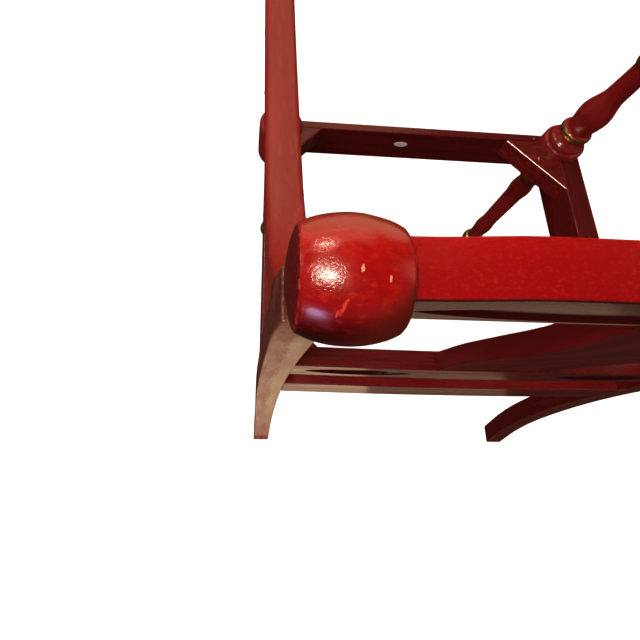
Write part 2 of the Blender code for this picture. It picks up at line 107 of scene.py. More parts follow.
# chips on the left barrel, down to the cream ground: (from its centre, half sizes, turn about Z)
CHIPS = (
    ((-0.0022, 0.0078, 0.0303), (0.0008, 0.0017), 0.1),
    ((-0.0142, 0.0104, 0.0282), (0.0006, 0.0017), 0.0),
)
# shallow ones, down to the first coat of red
SCUFFS = (
    ((0.0046, 0.0218, 0.0222), (0.0009, 0.0031), 0.5),
    ((0.0070, 0.0240, 0.0195), (0.0006, 0.0014), 0.3),
)
# crackled spots on the barrels: (from the centre, radius)
CRACKLED = (
    ((0.0120, 0.0092, 0.0280), 0.0105),
    ((0.0135, -0.0029, 0.0291), 0.0050),
)
CRACKS = 620.0          # crackle cells per metre
CRACK_WIDTH = 0.16      # share of a cell
CRACK_DEPTH = 0.00005

# camera: place, Euler angles in degrees, lens and shift
CAMERA_PLACE = (0.2870, 0.3165, 1.0482)
CAMERA_TURN = (22.097, -4.896, -179.681)
CAMERA_LENS = 27.07
CAMERA_SENSOR = 36.0
CAMERA_SHIFT = (0.0538, -0.0628)
CAMERA_NEAR = 0.01

# stage
STAGE_REACH = 6.0       # half the floor's width
BACKDROP_SHARE = 0.9    # the backdrop's radius as a share of it
FLOOR_PAINT = (0.50, 0.49, 0.47)
FLOOR_GLOW = (0.79, 0.775, 0.75)
BACKDROP_PAINT = (0.0, 0.0, 0.0)
BACKDROP_GLOW = (0.97, 0.955, 0.93)
# world: (height, from 0 straight down to 1 straight up, colour)
WORLD_BELOW = (0.42, (0.045, 0.030, 0.022))
WORLD_HORIZON = (0.53, (0.17, 0.14, 0.12))
WORLD_ABOVE = (0.75, (0.105, 0.095, 0.085))

# lamp colours
WARM = (1.0, 0.93, 0.82)
CREAM = (1.0, 0.88, 0.66)
AMBER = (1.0, 0.70, 0.46)
LILAC = (0.62, 0.58, 1.0)
TAN = (1.0, 0.71, 0.46)

# lamps in the directions in which the left barrel mirrors them:
# (name, direction, distance, size, radiance, colour, use as in softbox)
KEY = (0.326, 0.240, 0.914)
WINDOW = (0.282, -0.605, 0.745)
LAMPS = (
    ("key", KEY, 1.1, (0.34, 0.34), 20.0, WARM, "both"),
    ("key_glint", KEY, 1.09, (0.27, 0.27), 50.0, CREAM, "gloss"),
    ("window", WINDOW, 1.5, (0.30, 0.26), 15.0, WARM, "both"),
    ("window_glint", WINDOW, 1.49, (0.24, 0.20), 26.0, CREAM, "gloss"),
    ("front_glow", (0.05, -0.80, 0.55), 2.2, (2.2, 1.3), 1.1, AMBER, "both"),
    ("top_haze", (0.0, -0.99, 0.04), 2.2, (4.4, 1.6), 0.95, AMBER, "gloss"),
    ("rear_window", (0.40, 0.91, -0.02), 2.0, (0.60, 0.44), 14.0, LILAC, "both"),
    ("block_glint", KEY, 1.2, (0.9, 0.9), 60.0, CREAM, "gloss"),
    ("left_box", (0.93, -0.25, 0.33), 2.2, (0.8, 1.4), 0.7, WARM, "both"),
    ("right_box", (-0.93, -0.10, 0.35), 2.2, (0.9, 1.4), 0.7, WARM, "both"),
)
# fill lamps around the seat: (name, direction, radiance)
FILL_AIM = Vector((0.0, 0.0, 0.45))
FILL_DISTANCE = 2.4
FILL_SIZE = (1.6, 1.2)
FILLS = (
    ("front_fill", (-0.20, -0.90, 0.30), 2.0),
    ("rear_fill", (-0.35, 0.90, 0.20), 1.3),
    ("left_fill", (0.95, -0.20, 0.15), 1.6),
    ("right_fill", (-0.95, -0.20, 0.15), 1.6),
)
# tan light off the boards behind the chair: (name, two corners on the floor, radiance)
CARD_DROP = 0.002       # depth below the floor
FLOOR_CARDS = (
    ("floor_near", (0.02, 0.26), (0.30, 0.40), 1.10),
    ("floor_middle", (-0.30, 0.26), (0.02, 0.40), 0.28),
    ("floor_far", (-0.62, 0.45), (-0.04, 0.62), 0.55),
    ("floor_farther", (-1.20, 0.45), (-0.62, 0.62), 0.20),
)
# lamps that light only some pieces: lamp, parts of those pieces' names
REACH = {
    "floor_near": ("back_rail", "rear_seat_rail", "crest_rail", "back_post_left"),
    "floor_middle": ("back_rail", "rear_seat_rail", "crest_rail", "back_post_left"),
    "floor_far": ("crest_rail",),
    "floor_farther": ("crest_rail",),
    "block_glint": ("corner_block",),
    "top_haze": ("crest_barrel",),
}
lit = {lamp: bpy.data.collections.new(lamp + "_lit") for lamp in REACH}


def rgb(red, green, blue):
    return (red, green, blue, 1.0)


# ---------------------------------------------------------------- camera, stage and light
def make_camera():
    cam = bpy.data.cameras.new("camera")
    cam.sensor_fit = "HORIZONTAL"
    cam.sensor_width = CAMERA_SENSOR
    cam.lens = CAMERA_LENS
    cam.shift_x, cam.shift_y = CAMERA_SHIFT
    cam.clip_start = CAMERA_NEAR
    ob = bpy.data.objects.new("camera", cam)
    ob.location = CAMERA_PLACE
    ob.rotation_euler = [math.radians(a) for a in CAMERA_TURN]
    bpy.context.scene.collection.objects.link(ob)
    bpy.context.scene.camera = ob


def stage_surface(name, bm, colour, glow):
    """Pale studio surface, which the object neither mirrors nor takes light from."""
    mesh = bpy.data.meshes.new(name)
    bm.to_mesh(mesh)
    bm.free()
    ob = bpy.data.objects.new(name, mesh)
    bpy.context.scene.collection.objects.link(ob)
    paint = bpy.data.materials.new(name + "_paint")
    paint.use_nodes = True
    shader = paint.node_tree.nodes["Principled BSDF"]
    shader.inputs["Base Color"].default_value = rgb(*colour)
    shader.inputs["Specular IOR Level"].default_value = 0.0
    shader.inputs["Roughness"].default_value = 1.0
    shader.inputs["Emission Color"].default_value = rgb(*glow)
    shader.inputs["Emission Strength"].default_value = 1.0
    mesh.materials.append(paint)
    ob.visible_glossy = False
    ob.visible_diffuse = False
    return ob


def make_stage():
    plane = bmesh.new()
    bmesh.ops.create_grid(plane, x_segments=1, y_segments=1, size=STAGE_REACH)
    stage_surface("floor", plane, FLOOR_PAINT, FLOOR_GLOW)
    ball = bmesh.new()
    radius = STAGE_REACH * BACKDROP_SHARE
    bmesh.ops.create_uvsphere(ball, u_segments=48, v_segments=24, radius=radius)
    backdrop = stage_surface("backdrop", ball, BACKDROP_PAINT, BACKDROP_GLOW)
    backdrop.visible_shadow = False


def softbox(name, aim, direction, distance, size, radiance, colour, use):
    """Area lamp in a direction from the aimed point; its radiance fixes its reflection.
    use is both, gloss for a reflection only, or matt for a fill that isn't mirrored."""
    lamp = bpy.data.lights.new(name, "AREA")
    lamp.shape = "RECTANGLE"
    lamp.size, lamp.size_y = size
    lamp.energy = radiance * math.pi * lamp.size * lamp.size_y
    lamp.color = colour
    ob = bpy.data.objects.new(name, lamp)
    toward = Vector(direction).normalized()
    ob.location = aim + toward * distance
    ob.rotation_euler = (-toward).to_track_quat("-Z", "Y").to_euler()
    ob.visible_diffuse = use != "gloss"
    ob.visible_glossy = use != "matt"
    bpy.context.scene.collection.objects.link(ob)
    if name in REACH:
        ob.light_linking.receiver_collection = lit[name]


def make_lamps():
    low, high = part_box("crest_barrel_left")
    barrel = (low + high) / 2
    for name, direction, distance, size, radiance, colour, use in LAMPS:
        softbox(name, barrel, direction, distance, size, radiance, colour, use)
    for name, direction, radiance in FILLS:
        softbox(name, FILL_AIM, direction, FILL_DISTANCE, FILL_SIZE, radiance, WARM, "matt")
    for name, near, far, radiance in FLOOR_CARDS:
        size = (far[0] - near[0], far[1] - near[1])
        middle = Vector(((near[0] + far[0]) / 2, (near[1] + far[1]) / 2, 0.0))
        softbox(name, middle, -UP, CARD_DROP, size, radiance, TAN, "both")


def make_world():
    """Dim room, a little lighter from the horizon up."""
    world = bpy.data.worlds.new("studio")
    bpy.context.scene.world = world
    world.use_nodes = True
    tree = world.node_tree
    direction = tree.nodes.new("ShaderNodeTexCoord").outputs["Generated"]
    split = tree.nodes.new("ShaderNodeSeparateXYZ")
    tree.links.new(direction, split.inputs[0])
    height = tree.nodes.new("ShaderNodeMapRange")
    height.inputs["From Min"].default_value = -1.0
    tree.links.new(split.outputs["Z"], height.inputs["Value"])
    ramp = tree.nodes.new("ShaderNodeValToRGB")
    below, above = ramp.color_ramp.elements
    below.position, below.color = WORLD_BELOW[0], rgb(*WORLD_BELOW[1])
    above.position, above.color = WORLD_ABOVE[0], rgb(*WORLD_ABOVE[1])
    horizon = ramp.color_ramp.elements.new(WORLD_HORIZON[0])
    horizon.color = rgb(*WORLD_HORIZON[1])
    tree.links.new(height.outputs[0], ramp.inputs[0])
    tree.links.new(ramp.outputs[0], tree.nodes["Background"].inputs["Color"])


# ---------------------------------------------------------------- meshes from the CAD
def points_of(node):
    """The node's faces with their split corners merged: (points, faces)."""
    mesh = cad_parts[node].data
    found = {}
    points = []
    index = []
    for v in mesh.vertices:
        key = tuple(round(c / WELD) for c in v.co)
        if key not in found:
            found[key] = len(points)
            points.append(v.co.copy())
        index.append(found[key])
    faces = []
    for face in mesh.polygons:
        corners = [index[k] for k in face.vertices]
        if len(set(corners)) == len(corners):
            faces.append(corners)
    return points, faces


def add_piece(mesh, node, slot, *paints):
    """Shows a mesh in place of a CAD node, lit by the lamps that reach it."""
    for paint in paints:
        mesh.materials.append(paint)
    piece = bpy.data.objects.new(node + "_lacquered", mesh)
    bpy.context.scene.collection.objects.link(piece)
    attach(piece, "root")
    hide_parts(node)
    for lamp, parts in REACH.items():
        if any(part in node for part in parts):
            lit[lamp].objects.link(piece)
    return piece


def mark_edges(mesh):
    """Face attribute "edge": 1 on the narrow faces of eased edges, 0 elsewhere."""
    layer = mesh.attributes.new("edge", "FLOAT", "FACE")
    for face in mesh.polygons:
        corners = [mesh.vertices[k].co for k in face.vertices]
        longest = max((a - b).length for a, b in zip(corners, corners[1:] + corners[:1]))
        layer.data[face.index].value = float(face.area / longest < EDGE_WIDTH)


def mark_sunk(mesh, floor):
    """Face attribute "sunk": 1 in the panels cut into a rail's rear face, 0 elsewhere; floor is
    the depth below which a face that looks to the rear is a panel's floor."""
    layer = mesh.attributes.new("sunk", "FLOAT", "FACE")
    along_x, along_y, along_z = zip(*(v.co for v in mesh.vertices))
    bottom = min(along_z) + PANEL_RIM
    top = max(along_z) - PANEL_RIM
    end = max(along_x) - PANEL_RIM
    rear = max(along_y)
    for face in mesh.polygons:
        at = face.center
        depth = rear - at.y
        is_floor = face.normal.y > FLOOR_FACES and depth > floor
        is_wall = abs(face.normal.y) < WALL_FACES and depth > WALL_LEAST
        inside = bottom < at.z < top and abs(at.x) < end and depth < PANEL_DEEPEST
        layer.data[face.index].value = float(inside and (is_floor or is_wall))


def joinery(node, slot, paint):
    """Finer copy of a sawn piece: flat faces rebuilt, eased edges shaded round and marked."""
    points, faces = points_of(node)
    mesh = bpy.data.meshes.new(node)
    mesh.from_pydata(points, [], faces)
    bm = bmesh.new()
    bm.from_mesh(mesh)
    flat = math.radians(FLAT_ANGLE)
    bmesh.ops.dissolve_limit(bm, angle_limit=flat, verts=bm.verts, edges=bm.edges)
    bmesh.ops.recalc_face_normals(bm, faces=bm.faces)
    bm.to_mesh(mesh)
    bm.free()
    for v, normal in zip(mesh.vertices, [v.normal.copy() for v in mesh.vertices]):
        v.co += normal * FILM
    mark_edges(mesh)
    if node in PANEL_FLOORS:
        mark_sunk(mesh, PANEL_FLOORS[node])
    mesh.shade_smooth()
    mesh.set_sharp_from_angle(angle=math.radians(SAWN_SHARP))
    piece = add_piece(mesh, node, slot, paint)
    weighted = piece.modifiers.new("flat_faces", "WEIGHTED_NORMAL")
    weighted.keep_sharp = True


def outline_of(node, base, axis, least):
    """(height, radius) of each ring of a turned node about an axis, from low to high."""
    rings = {}
    for p in points_of(node)[0]:
        height = (p - base).dot(axis)
        radius = (p - base - axis * height).length
        if radius > least:
            rings.setdefault(round(height, 4), []).append(radius)
    return [(h, max(r)) for h, r in sorted(rings.items()) if len(r) >= RING_POINTS]


def bulged(outline):
    """The outline without the points inside its convex hull, such as those of bored holes."""
    hull = []
    for p in outline:
        while len(hull) > 1:
            (x1, y1), (x2, y2) = hull[-2:]
            if (x2 - x1) * (p[1] - y1) < (y2 - y1) * (p[0] - x1):
                break
            hull.pop()
        hull.append(p)
    return hull


def faired(outline, parts, corner):
    """The outline with points added on a smooth curve, which breaks only at real corners."""
    pts = [Vector(p) for p in outline]
    leans = [None] * len(pts)
    for k in range(1, len(pts) - 1):
        before = pts[k] - pts[k - 1]
        after = pts[k + 1] - pts[k]
        if before.angle(after) < math.radians(corner):
            leans[k] = (before + after).normalized()
    out = [pts[0]]
    for k in range(len(pts) - 1):
        a, b = pts[k], pts[k + 1]
        span = b - a
        lean_a = (leans[k] or span.normalized()) * span.length
        lean_b = (leans[k + 1] or span.normalized()) * span.length
        for j in range(1, parts + 1):
            t = j / parts
            start = a * (2 * t**3 - 3 * t**2 + 1) + lean_a * (t**3 - 2 * t**2 + t)
            end = b * (3 * t**2 - 2 * t**3) + lean_b * (t**3 - t**2)
            out.append(start + end)
    return out


def lathe(name, outline, base, axis, segments, wobble=0.0):
    """Turned skin with closed ends; wobble is the depth of the hand-finished unevenness."""
    across = axis.orthogonal().normalized()
    third = axis.cross(across)
    verts = []
    for height, radius in outline:
        for k in range(segments):
            a = 2 * math.pi * k / segments
            out = across * math.cos(a) + third * math.sin(a)
            at = base + axis * height
            uneven = wobble * noise.noise((at + out * radius) * UNEVEN_SCALE)
            verts.append(at + out * (radius + FILM + uneven))
    faces = []
    for ring in range(len(outline) - 1):
        a = ring * segments
        b = a + segments
        for k in range(segments):
            j = (k + 1) % segments
            faces.append((a + k, a + j, b + j, b + k))
    faces.append(tuple(reversed(range(segments))))
    faces.append(tuple(range(len(verts) - segments, len(verts))))
    mesh = bpy.data.meshes.new(name)
    mesh.from_pydata(verts, [], faces)
    mesh.shade_smooth()
    mesh.set_sharp_from_angle(angle=math.radians(TURNED_SHARP))
    return mesh


def gild(mesh, base, axis, rings):
    """Gives the second material to the faces within the (height, half width) rings."""
    for face in mesh.polygons:
        height = (face.center - base).dot(axis)
        if any(abs(height - at) < half for at, half in rings):
            face.material_index = 1


# ---------------------------------------------------------------- materials
class Paint:
    """A node material under construction; most methods add nodes and return the last output."""

    def __init__(self, name):
        self.mat = bpy.data.materials.new(name)
        self.mat.use_nodes = True
        self.tree = self.mat.node_tree
        self.shader = self.tree.nodes["Principled BSDF"]
        self.at = self.add("ShaderNodeTexCoord").outputs["Object"]

    def add(self, kind, inputs=None, **settings):
        node = self.tree.nodes.new(kind)
        for key, value in settings.items():
            setattr(node, key, value)
        for key, value in (inputs or {}).items():
            self.feed(node.inputs[key], value)
        return node

    def feed(self, socket, value):
        if isinstance(value, bpy.types.NodeSocket):
            self.tree.links.new(value, socket)
        else:
            socket.default_value = value

    def set(self, **values):
        for key, value in values.items():
            self.feed(self.shader.inputs[key.replace("_", " ")], value)

    def vector(self, operation, a, b):
        return self.add("ShaderNodeVectorMath", {0: a, 1: b}, operation=operation).outputs[0]

    def stretched(self, scales):
        return self.vector("MULTIPLY", self.at, scales)

    def noise(self, scale, detail=3.0, at=None, twist=0.0):
        inputs = {"Vector": at or self.at, "Scale": scale, "Detail": detail, "Distortion": twist}
        return self.add("ShaderNodeTexNoise", inputs).outputs[0]

    def cracks(self):
        """1 along the borders of crackle cells, 0 inside them."""
        inputs = {"Vector": self.at, "Scale": CRACKS}
        cells = self.add("ShaderNodeTexVoronoi", inputs, feature="DISTANCE_TO_EDGE")
        return self.remap(cells.outputs["Distance"], 0.0, CRACK_WIDTH, 1.0, 0.0)

    def remap(self, value, low, high, to_low=0.0, to_high=1.0):
        inputs = {0: value, 1: low, 2: high, 3: to_low, 4: to_high}
        node = self.add("ShaderNodeMapRange", inputs, interpolation_type="SMOOTHSTEP")
        return node.outputs[0]

    def math(self, operation, a, b):
        return self.add("ShaderNodeMath", {0: a, 1: b}, operation=operation).outputs[0]

    def times(self, a, b):
        return self.math("MULTIPLY", a, b)

    def mix(self, share, a, b):
        node = self.add("ShaderNodeMix", {0: share, 6: a, 7: b}, data_type="RGBA")
        return node.outputs[2]

    def marked(self, attribute):
        return self.add("ShaderNodeAttribute", attribute_name=attribute).outputs["Fac"]

    def facing(self, direction):
        """Cosine between the surface's normal and a direction of the object."""
        normal = self.add("ShaderNodeNewGeometry").outputs["Normal"]
        inputs = {0: normal, 1: direction}
        return self.add("ShaderNodeVectorMath", inputs, operation="DOT_PRODUCT").outputs["Value"]

    def bump(self, height, distance, under=None):
        inputs = {"Height": height, "Distance": distance, "Strength": 1.0}
        if under:
            inputs["Normal"] = under
        return self.add("ShaderNodeBump", inputs).outputs[0]

    def chip(self, centre, half, turn):
        """Ragged spot of the given half sizes around a point of the surface."""
        inputs = {"Vector": self.at, "Center": centre, "Angle": turn}
        turned = self.add("ShaderNodeVectorRotate", inputs, rotation_type="Z_AXIS").outputs[0]
        away = self.vector("SUBTRACT", turned, centre)
        scaled = self.vector("DIVIDE", away, (half[0], half[1], half[1] * 2))
        size = self.add("ShaderNodeVectorMath", {0: scaled}, operation="LENGTH").outputs["Value"]
        frayed = self.remap(self.noise(900.0, 4.0), 0.3, 0.7, -CHIP_FRAY, CHIP_FRAY)
        return self.remap(self.math("ADD", size, frayed), 1.05, 0.85)


def along(axis, coarse, fine):
    """Noise scales for streaks that run along an axis."""
    return tuple(coarse if name == axis else fine for name in "xyz")


def bared_share(p, border, start, full):
    """Ragged strip of a rear face on the low-X side of a border, fading in with height."""
    place = p.add("ShaderNodeSeparateXYZ", {0: p.at}).outputs
    hairs = p.noise(1.0, 4.0, p.stretched(along("z", 50.0, 700.0)))
    frayed = p.remap(hairs, 0.3, 0.7, -BARED_FRAY, BARED_FRAY)
    ragged = p.math("ADD", place["X"], frayed)
    beside = p.remap(ragged, border + BARED_SOFT, border - BARED_SOFT)
    behind = p.remap(p.facing((0.0, 1.0, 0.0)), 0.45, 0.75)
    return p.times(p.times(beside, behind), p.remap(place["Z"], start, full))


def lacquer(name, colours, look, tints=(), chips=(), scuffs=(), crackled=(), bared=None):
    """Aged brushed lacquer.

    colours: deep, body and bright tones, and the pale layer under them.  look: clouds, grain
    and brush (noise scales), mottle and edge (shares), peel (noise scale), ripple and brushed
    (metres of relief), rough (range), ior, coat and coat_rough.  tints: painted light and shade
    by the way a face looks, each (direction, cosine where it starts, cosine where it's full,
    colour, share of the streaks that stays in it).  chips, scuffs and crackled: as CHIPS, SCUFFS
    and CRACKLED, from the origin.  bared: see BARED.  The sunk panels get painted shade."""
    deep, body, bright, pale = (rgb(*c) for c in colours)
    p = Paint(name)
    clouds = p.remap(p.noise(1.0, 4.0, p.stretched(look["clouds"])), *CLOUD_BAND)
    colour = p.mix(clouds, deep, body)
    mottle = p.noise(1.0, 4.0, p.stretched(look["grain"]))
    colour = p.mix(p.times(p.remap(mottle, *BRIGHT_BAND), look["mottle"]), colour, bright)
    colour = p.mix(p.times(p.remap(mottle, *DEEP_BAND), look["mottle"]), colour, deep)
    # painted light and shade by the way a face looks
    for direction, start, full, tint, streaks in tints:
        waver = p.remap(clouds, 0.0, 1.0, -TINT_WAVER, TINT_WAVER)
        wavering = p.math("ADD", p.facing(direction), waver)
        toned = p.mix(p.times(p.remap(mottle, *STREAK_BAND), streaks), rgb(*tint), colour)
        colour = p.mix(p.remap(wavering, start, full), colour, toned)
    if bared:
        colour = p.mix(bared_share(p, *bared[:3]), colour, rgb(*bared[3]))
    # painted shade: the sunk panels are darkened
    colour = p.mix(p.marked("sunk"), colour, rgb(*PANEL_SHADE))
    for centre, half, turn in scuffs:
        colour = p.mix(p.chip(centre, half, turn), colour, rgb(*FIRST_RED))

    # rubbed edges and chips show the pale layer; on the barrels' rims this pale band is also a
    # painted highlight line
    rubbed = p.remap(p.noise(RUB_SCALE, 5.0), *RUB_BAND)
    wear = p.times(p.marked("edge"), p.times(rubbed, look["edge"]))
    for centre, half, turn in chips:
        wear = p.math("MAXIMUM", wear, p.chip(centre, half, turn))
    p.set(Base_Color=p.mix(wear, colour, pale))

    peel = p.noise(look["peel"], 4.0, twist=0.4)
    brush = p.noise(1.0, 3.0, p.stretched(look["brush"]))
    surface = p.bump(peel, look["ripple"])
    surface = p.bump(brush, look["brushed"], surface)
    for centre, radius in crackled:
        away = p.add("ShaderNodeVectorMath", {0: p.at, 1: centre}, operation="DISTANCE")
        near = p.remap(away.outputs["Value"], radius, radius * 0.4)
        surface = p.bump(p.times(p.cracks(), near), -CRACK_DEPTH, surface)
    p.set(Normal=p.bump(wear, -WEAR_DEPTH, surface))

    low, high = look["rough"]
    haze = p.remap(p.noise(3.0, 4.0, p.stretched(look["clouds"])), *HAZE_BAND, low, high)
    p.set(Roughness=p.math("ADD", haze, p.times(wear, WEAR_ROUGHER)), IOR=look["ior"])
    p.set(Coat_Weight=look["coat"], Coat_Roughness=look["coat_rough"])
    return p.mat


# palettes of lacquer: deep, body and bright tones, and the pale layer under them
SCARLET = (
    (0.290, 0.0020, 0.0035),
    (0.410, 0.0045, 0.0045),
    (0.530, 0.0200, 0.0100),
    (0.760, 0.2600, 0.1500),
)
# painted light: a lighter copy of the crest's scarlet, for the barrels
BARREL_LIT_SCARLET = (
    (0.300, 0.0020, 0.0030),
    (0.460, 0.0055, 0.0045),
    (0.620, 0.0330, 0.0120),
    (0.800, 0.3600, 0.2000),
)
BRICK = (
    (0.285, 0.0200, 0.0145),
    (0.350, 0.0280, 0.0200),
    (0.425, 0.0600, 0.0420),
    (0.520, 0.1700, 0.1200),
)
MAROON = (
    (0.120, 0.0080, 0.0075),
    (0.175, 0.0115, 0.0105),
    (0.245, 0.0190, 0.0170),
    (0.330, 0.0900, 0.0600),
)
RUBBED_BROWN = (
    (0.130, 0.0260, 0.0180),
    (0.200, 0.0440, 0.0290),
    (0.330, 0.1150, 0.0700),
    (0.420, 0.2000, 0.1300),
)
# painted light: a lighter copy of MAROON, for the turned legs and supports
TURNED_LIT_MAROON = (
    (0.220, 0.0150, 0.0150),
    (0.300, 0.0220, 0.0210),
    (0.400, 0.0480, 0.0420),
    (0.330, 0.0900, 0.0600),
)
# painted shade of faces that look away from the lamps and of the sunk panels, painted
# reflections, and the layers under the top coat
# painted shade of the crest's rear face and underside
SHADE_BROWN = (0.050, 0.0055, 0.0045)
# painted shade of the barrels' outer ends and the posts' tops
SHADE_MAROON = (0.100, 0.0080, 0.0070)
# painted shade of the posts' inner faces
INNER_SHADE_MAROON = (0.120, 0.0085, 0.0080)
# painted shade of the barrels' rear underside
BARREL_SHADE_BROWN = (0.026, 0.0020, 0.0020)
# painted shade of the barrels' rear side toward the crest
BARREL_SHADE_UMBER = (0.150, 0.0140, 0.0080)
# painted reflection of the room on the barrels' front top
REFLECTED_BRICK = (0.300, 0.0340, 0.0180)
# painted tan reflection of the floor on the left post's rear
REFLECTED_FLOOR_TAN = (0.400, 0.1200, 0.0700)
# painted shade of the right post's rear
REAR_SHADE_UMBER = (0.140, 0.0240, 0.0170)
# painted shade in the sunk panels
PANEL_SHADE = (0.060, 0.0060, 0.0065)
FIRST_RED = (0.700, 0.0600, 0.0300)
GILT_DULL = (0.36, 0.20, 0.065)
GILT_BRIGHT = (0.74, 0.50, 0.20)
GILT_WORN = (0.11, 0.012, 0.008)
STEEL_CLEAN = (0.50, 0.17, 0.14)
STEEL_FILMED = (0.20, 0.03, 0.025)
IVORY_CLEAN = (0.90, 0.86, 0.76)
IVORY_STAINED = (0.66, 0.56, 0.42)
BEECH_DARK = (0.42, 0.27, 0.15)
BEECH_PALE = (0.66, 0.48, 0.30)

# strip of the left post's rear rubbed to the ground: (x of its border, height where it starts,
# height where it's full, colour), and how far its border strays and blurs
BARED = (0.2515, 0.08, 0.32, (0.560, 0.330, 0.160))
BARED_FRAY = 0.0045
BARED_SOFT = 0.0015

# bands of noise that the lacquer's tones, rubbed edges and haze come from
CLOUD_BAND = (0.34, 0.68)
BRIGHT_BAND = (0.50, 0.72)
DEEP_BAND = (0.48, 0.30)
STREAK_BAND = (0.40, 0.70)
RUB_SCALE = 420.0
RUB_BAND = (0.50, 0.58)
HAZE_BAND = (0.35, 0.70)

CHIP_FRAY = 0.45        # share of a chip's half size by which its border strays
TINT_WAVER = 0.04       # cosine by which a tint's border strays
WEAR_DEPTH = 0.00012    # depth of rubbed edges and chips
WEAR_ROUGHER = 0.2      # roughness that they add


def scarlet_look(clouds, grain, mottle, ripple):
    """Glossy top coat of the crest and the barrels."""
    return {
        "clouds": clouds,
        "grain": grain,
        "mottle": mottle,
        "edge": 0.22,
        "peel": 520.0,
        "ripple": ripple,
        "brush": grain,
        "brushed": 0.00005,
        "rough": (0.20, 0.32),
        "ior": 1.47,
        "coat": 0.12,
        "coat_rough": 0.12,
    }


def satin_look():
    """Silkier coat of the arms, brushed lengthwise."""
    return {
        "clouds": along("y", 4.0, 34.0),
        "grain": along("y", 14.0, 240.0),
        "mottle": 0.35,
        "edge": 0.3,
        "peel": 300.0,
        "ripple": 0.00004,
        "brush": along("y", 16.0, 420.0),
        "brushed": 0.00002,
        "rough": (0.36, 0.46),
        "ior": 1.46,
        "coat": 0.10,
        "coat_rough": 0.30,
    }


def dark_look(axis, streaks=0.25, rough=(0.20, 0.32)):
    """Streaky coat of the posts, rails and turnings, brushed along an axis."""
    return {
        "clouds": along(axis, 4.0, 40.0),
        "grain": along(axis, 12.0, 260.0),
        "mottle": streaks,
        "edge": 0.25,
        "peel": 300.0,
        "ripple": 0.00001,
        "brush": along(axis, 10.0, 520.0),
        "brushed": 0.00004,
        "rough": rough,
        "ior": 1.44,
        "coat": 0.10,
        "coat_rough": 0.10,
    }


def post_paint(side):
    """Brown rubbed lacquer with painted shade in maroon on the inner face and the top.  The rear
    of the left post has a painted tan reflection of the floor, with a bared strip, and the rear
    of the right one has painted shade in umber."""
    inward = -1.0 if side == "left" else 1.0
    rear = REFLECTED_FLOOR_TAN if side == "left" else REAR_SHADE_UMBER
    # painted light by facing: the floor's reflection or shade on the rear, shade on the inner
    # face and the top
    tints = (
        ((0.0, 1.0, 0.0), 0.45, 0.75, rear, 0.7),
        ((inward, 0.0, 0.0), 0.55, 0.85, INNER_SHADE_MAROON, 0.1),
        ((0.0, 0.0, 1.0), 0.80, 0.95, SHADE_MAROON, 0.1),
    )
    look = dark_look("z", 0.8, (0.26, 0.40))
    look["grain"] = (320.0, 30.0, 5.0)
    bared = BARED if side == "left" else None
    return lacquer("brown_post_" + side, RUBBED_BROWN, look, tints, bared=bared)


def gilding():
    """Dull bronze gilding, rubbed through to the red in places."""
    p = Paint("dull_gilding")
    rub = p.remap(p.noise(320.0, 5.0), 0.54, 0.62)
    tone = p.mix(p.noise(90.0, 3.0), rgb(*GILT_DULL), rgb(*GILT_BRIGHT))
    p.set(Base_Color=p.mix(rub, tone, rgb(*GILT_WORN)))
    p.set(Metallic=p.math("SUBTRACT", 1.0, rub))
    p.set(Roughness=p.remap(p.noise(140.0, 3.0), 0.3, 0.7, 0.22, 0.42))
    p.set(Normal=p.bump(p.noise(380.0, 4.0), 0.00010))
    return p.mat


def screw_steel():
    """Steel under a film of the chair's own red lacquer."""
    p = Paint("filmed_steel")
    stain = p.remap(p.noise(700.0, 4.0), 0.42, 0.62)
    p.set(Base_Color=p.mix(stain, rgb(*STEEL_CLEAN), rgb(*STEEL_FILMED)))
    p.set(Metallic=0.8, Roughness=p.remap(stain, 0.0, 1.0, 0.18, 0.40))
    p.set(Normal=p.bump(p.noise(900.0, 3.0), 0.00004))
    return p.mat


def ivory():
    """Stained ivory of the blank tag."""
    p = Paint("ivory_tag")
    stain = p.remap(p.noise(260.0, 4.0), 0.50, 0.75)
    p.set(Base_Color=p.mix(stain, rgb(*IVORY_CLEAN), rgb(*IVORY_STAINED)))
    p.set(Roughness=0.38, Normal=p.bump(p.noise(800.0, 3.0), 0.00003))
    return p.mat


def beech():
    """Bare beech of the dowels."""
    p = Paint("bare_beech")
    rings = p.noise(1.0, 5.0, p.stretched(along("x", 90.0, 900.0)))
    p.set(Base_Color=p.mix(rings, rgb(*BEECH_DARK), rgb(*BEECH_PALE)))
    p.set(Roughness=0.62, Normal=p.bump(rings, 0.00005))
    return p.mat


# ---------------------------------------------------------------- pieces
def mark_rims(mesh, base, axis, outline):
    """Vertex attribute "edge": 1 on a barrel's two rims, fading to 0 beside them; its pale band
    is rubbed lacquer and also a painted highlight line along the rims.
    """
    widest = max(radius for height, radius in outline)
    low, high = (share * widest for share in RIM_SHARE)
    rims = [height for height, radius in outline if low < radius < high]
    layer = mesh.attributes.new("edge", "FLOAT", "POINT")
    for v in mesh.vertices:
        height = (v.co - base).dot(axis)
        near = min(abs(height - rim) for rim in (min(rims), max(rims)))
        layer.data[v.index].value = max(0.0, 1.0 - near / RIM_WIDTH)


